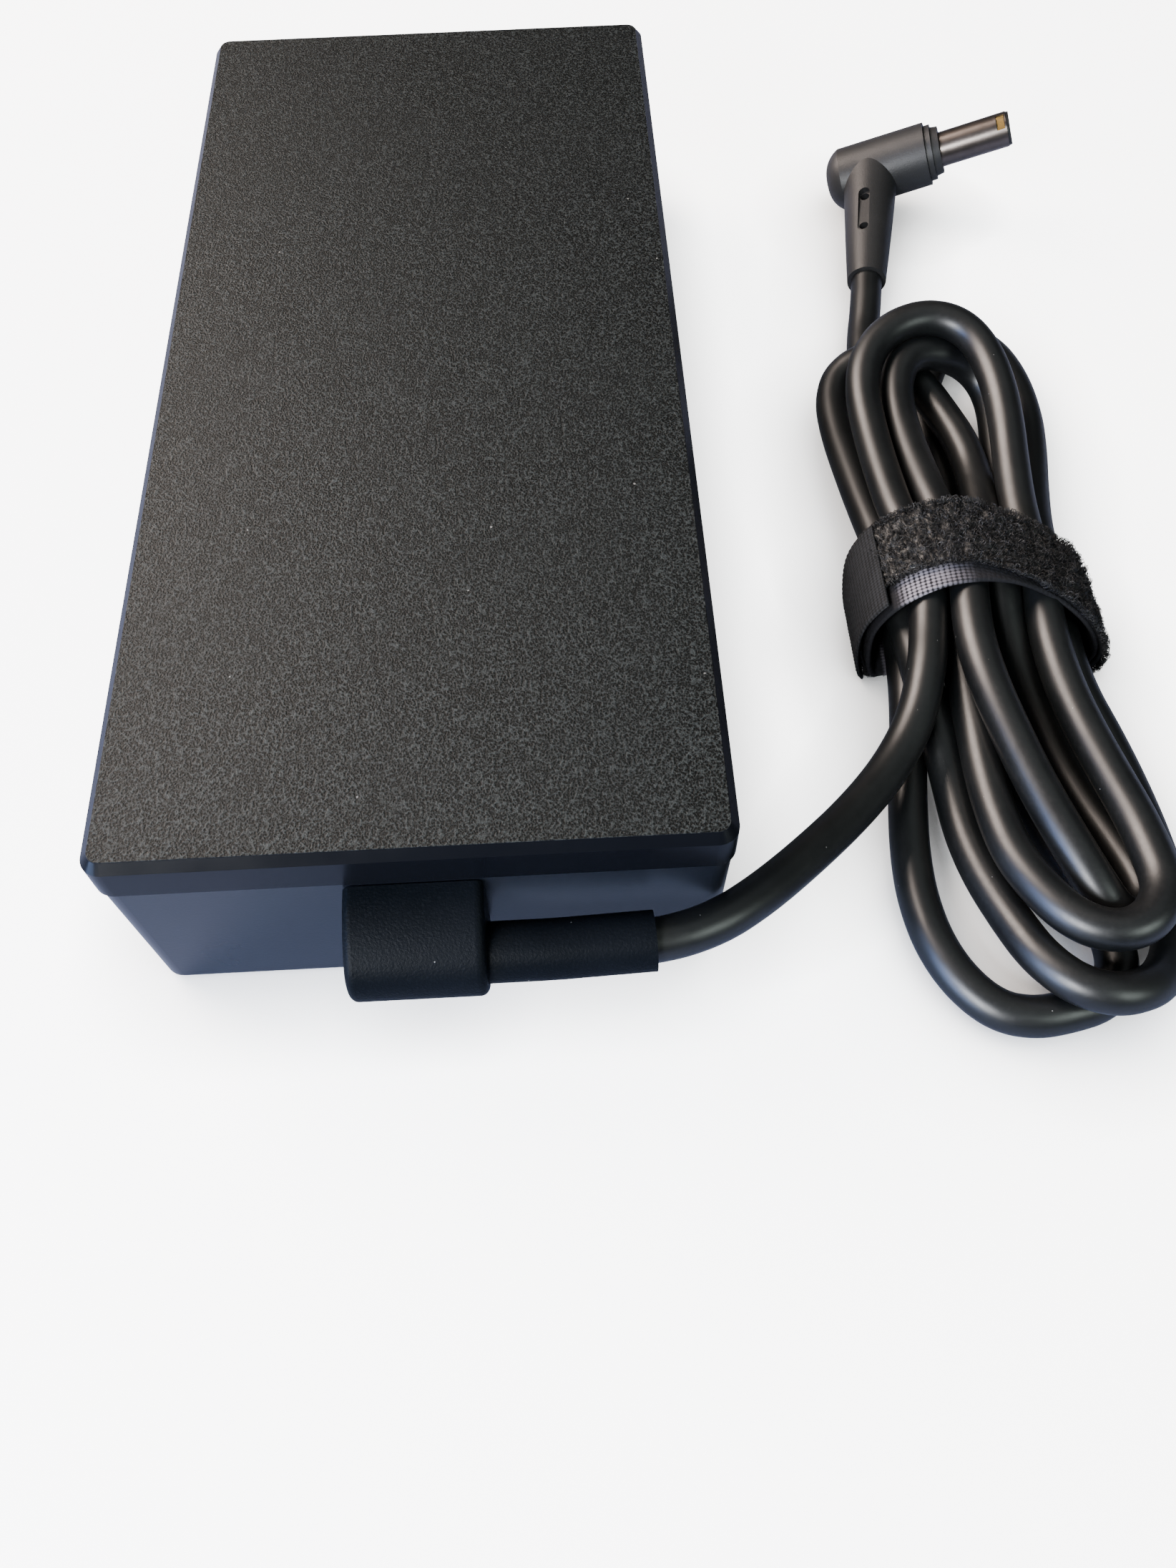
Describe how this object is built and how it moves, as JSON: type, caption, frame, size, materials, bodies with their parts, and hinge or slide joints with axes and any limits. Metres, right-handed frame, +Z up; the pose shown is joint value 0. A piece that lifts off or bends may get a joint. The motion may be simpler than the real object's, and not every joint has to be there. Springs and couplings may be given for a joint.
{
  "type": "laptop power adapter",
  "caption": "Flat black power brick with a mains inlet, a strain-relief boot and a thin output cord tied in a flat hank, ending in a right-angle barrel plug.",
  "frame": {"origin": "centre of the case's underside, on the surface it rests on", "axes": "+X to the right, +Y along the case towards the mains inlet, +Z up"},
  "size_m": [0.1303, 0.1623, 0.03],
  "materials": {
    "case_plastic": "moulded black PC/ABS: glossy bevel and rim, finely textured flats",
    "top_plastic": "moulded black PC/ABS with a fine even grain on the top and a glossy bevel",
    "label_film": "blank dark polyester label",
    "inlet_plastic": "black glass-filled nylon, slight sheen",
    "inlet_pin_metal": "nickel-plated brass blades",
    "boot_rubber": "matte black moulded elastomer with a fine grain",
    "cord_jacket": "satin black PVC jacket",
    "strap_fabric": "black woven hook-and-loop tape with a fuzzy loop pile",
    "plug_plastic": "matte dark grey-black PVC overmould",
    "barrel_metal": "nickel-plated brass, warm satin",
    "contact_metal": "gold-plated spring contact",
    "insulator_plastic": "black plastic",
    "board_laminate": "green glass-epoxy board",
    "screw_steel": "zinc-plated steel",
    "spreader_aluminium": "mill-finish sheet",
    "insulation_film": "milky polyester sheet",
    "pad_silicone": "grey-blue silicone pad",
    "device_epoxy": "black epoxy package",
    "fuse_glass": "glass tube",
    "varistor_coat": "blue epoxy coating",
    "film_box": "yellow film-capacitor box",
    "disc_coat": "blue ceramic-disc coating",
    "ferrite": "dark grey ferrite",
    "enamel_wire": "enamelled copper wire",
    "capacitor_sleeve": "dark heat-shrink sleeve",
    "bobbin_plastic": "black phenolic bobbin",
    "winding_tape": "yellow polyester tape",
    "wire_red": "red PVC insulation",
    "wire_black": "black PVC insulation",
    "wire_brown": "brown PVC insulation",
    "wire_blue": "blue PVC insulation",
    "wire_green": "green PVC insulation"
  },
  "bodies": {
    "root": {"bottom_case": "case_plastic", "top_cover": "top_plastic", "rating_label": "label_film", "inlet_shell": "inlet_plastic", "inlet_line_pin": "inlet_pin_metal", "inlet_neutral_pin": "inlet_pin_metal", "inlet_earth_pin": "inlet_pin_metal", "cable_boot": "boot_rubber", "output_lead": "cord_jacket", "plug_lead": "cord_jacket", "cord_hank": "cord_jacket", "tie_strap": "strap_fabric", "plug_overmould": "plug_plastic", "plug_collar": "plug_plastic", "plug_barrel": "barrel_metal", "plug_insulator": "insulator_plastic", "plug_inner_contact": "contact_metal", "plug_spring_contact": "contact_metal", "circuit_board": "board_laminate", "board_screws": "screw_steel", "lower_heat_spreader": "spreader_aluminium", "upper_heat_spreader": "spreader_aluminium", "insulation_sheet": "insulation_film", "thermal_pads": "pad_silicone", "primary_heat_sink": "spreader_aluminium", "output_heat_sink": "spreader_aluminium", "bridge_rectifier": "device_epoxy", "pfc_transistor": "device_epoxy", "pfc_diode": "device_epoxy", "output_rectifiers": "device_epoxy", "heat_sink_screws": "screw_steel", "mains_fuse": "fuse_glass", "surge_varistor": "varistor_coat", "x_capacitors": "film_box", "y_capacitors": "disc_coat", "common_mode_core": "ferrite", "common_mode_winding": "enamel_wire", "bulk_capacitor": "capacitor_sleeve", "resonant_capacitor": "film_box", "pfc_core": "ferrite", "pfc_winding": "winding_tape", "transformer_core": "ferrite", "transformer_bobbin": "bobbin_plastic", "transformer_winding": "winding_tape", "output_capacitors": "capacitor_sleeve", "output_choke_core": "ferrite", "output_choke_winding": "enamel_wire", "optocouplers": "device_epoxy", "control_chips": "device_epoxy", "positive_wire": "wire_red", "negative_wire": "wire_black", "line_wire": "wire_brown", "neutral_wire": "wire_blue", "earth_wire": "wire_green"}
  },
  "joints": []
}
